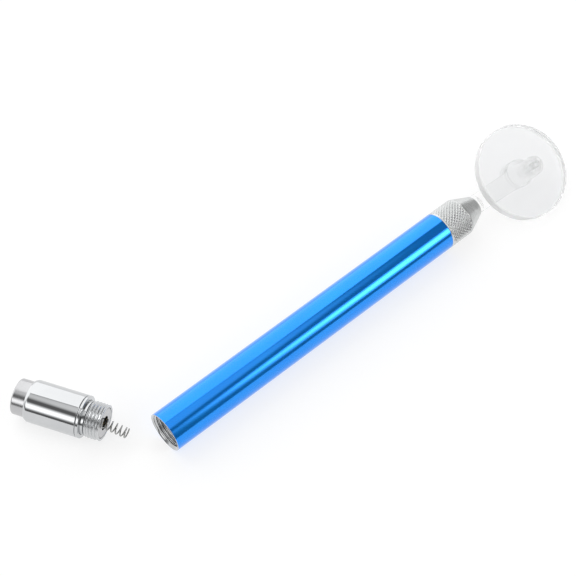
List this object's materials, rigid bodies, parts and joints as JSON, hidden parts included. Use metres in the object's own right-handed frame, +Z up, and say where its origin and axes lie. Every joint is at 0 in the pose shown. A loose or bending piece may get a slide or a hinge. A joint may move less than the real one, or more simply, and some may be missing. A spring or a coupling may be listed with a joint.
{
  "type": "inspection mirror",
  "caption": "Slim penlight tube with a screw-on nose, a clear arm carrying a clear round disc, and a loose push-button tail cap.",
  "frame": {"origin": "middle of the object's floor area, on the surface it lies on", "axes": "+X along the tube from its open mouth to the disc, +Z up"},
  "size_m": [0.1952, 0.0576, 0.0182],
  "materials": {
    "blue_anodised": "bright anodised blue aluminium, bare at the cut ends",
    "knurled_alloy": "bright turned and diamond-knurled aluminium",
    "satin_metal": "fine turned satin metal",
    "polished_metal": "mirror-polished plating",
    "spring_steel": "drawn spring wire",
    "clear_plastic": "clear polished acrylic",
    "black_rubber": "soft black rubber",
    "white_nylon": "moulded nylon",
    "brass": "turned brass",
    "green_board": "solder-masked circuit board",
    "black_chip": "moulded chip resistor",
    "led_resin": "clear cast resin",
    "cell_sleeve": "plain grey shrink film"
  },
  "bodies": {
    "handle": {"handle_tube": "blue_anodised"},
    "cells": {"rear_cell_can": "satin_metal", "rear_cell_sleeve": "cell_sleeve", "rear_cell_end_cap": "polished_metal", "front_cell_can": "satin_metal", "front_cell_sleeve": "cell_sleeve", "front_cell_end_cap": "polished_metal"},
    "light_engine": {"led_holder": "white_nylon", "led": "led_resin", "anode_lead": "spring_steel", "cathode_lead": "spring_steel", "circuit_board": "green_board", "resistor": "black_chip", "front_contact": "brass", "ground_washer": "brass"},
    "nose": {"knurled_ring": "knurled_alloy", "nose_cone": "satin_metal", "arm_snap_ring": "spring_steel"},
    "arm": {"light_arm": "clear_plastic", "arm_o_ring": "black_rubber"},
    "disc": {"clear_disc": "clear_plastic", "pivot_rivet": "clear_plastic", "pivot_washer": "clear_plastic"},
    "cap_ring": {"cap_trim_ring": "polished_metal"},
    "tail_cap": {"cap_body": "polished_metal", "cap_end_plate": "satin_metal", "switch_housing": "white_nylon", "button_retainer": "spring_steel", "fixed_contact": "brass", "spring_seat": "brass", "contact_spring": "spring_steel", "button_spring": "spring_steel"},
    "button": {"push_button": "satin_metal", "switch_plunger": "white_nylon", "moving_contact": "brass"}
  },
  "joints": [
    {"name": "cells_slide", "type": "slide", "parent": "handle", "child": "cells", "axis": [-1, 0, 0], "range_m": [0, 0.1]},
    {"name": "nose_advance", "type": "slide", "parent": "handle", "child": "light_engine", "axis": [1, 0, 0], "range_m": [0, 0.00705]},
    {"name": "nose_turn", "type": "hinge", "parent": "light_engine", "child": "nose", "pos_m": [0.04248, -0.01251, 0.0065], "axis": [1, 0, 0], "range_deg": [0, 2520]},
    {"name": "arm_turn", "type": "hinge", "parent": "nose", "child": "arm", "pos_m": [0.05748, -0.01251, 0.0065], "axis": [1, 0, 0], "continuous": true},
    {"name": "disc_swing", "type": "hinge", "parent": "arm", "child": "disc", "pos_m": [0.08788, -0.01328, 0.00608], "axis": [0, -0.4799, 0.8773], "continuous": true},
    {"name": "cap_pull", "type": "slide", "parent": "handle", "child": "cap_ring", "axis": [-0.4966, 0.868, 0], "range_m": [0, 0.03]},
    {"name": "cap_turn", "type": "hinge", "parent": "cap_ring", "child": "tail_cap", "pos_m": [-0.07884, 0.00156, 0.0066], "axis": [0.4966, -0.868, 0], "continuous": true},
    {"name": "button_press", "type": "slide", "parent": "tail_cap", "child": "button", "axis": [0.4966, -0.868, 0], "range_m": [0, 0.0015], "stiffness_N_per_m": 700, "springref_m": -0.0012, "deforming": ["button_spring"]}
  ],
  "couplings": [
    {"joint": "nose_advance", "follows": "nose_turn", "m_per_rad": 0.00015915}
  ]
}
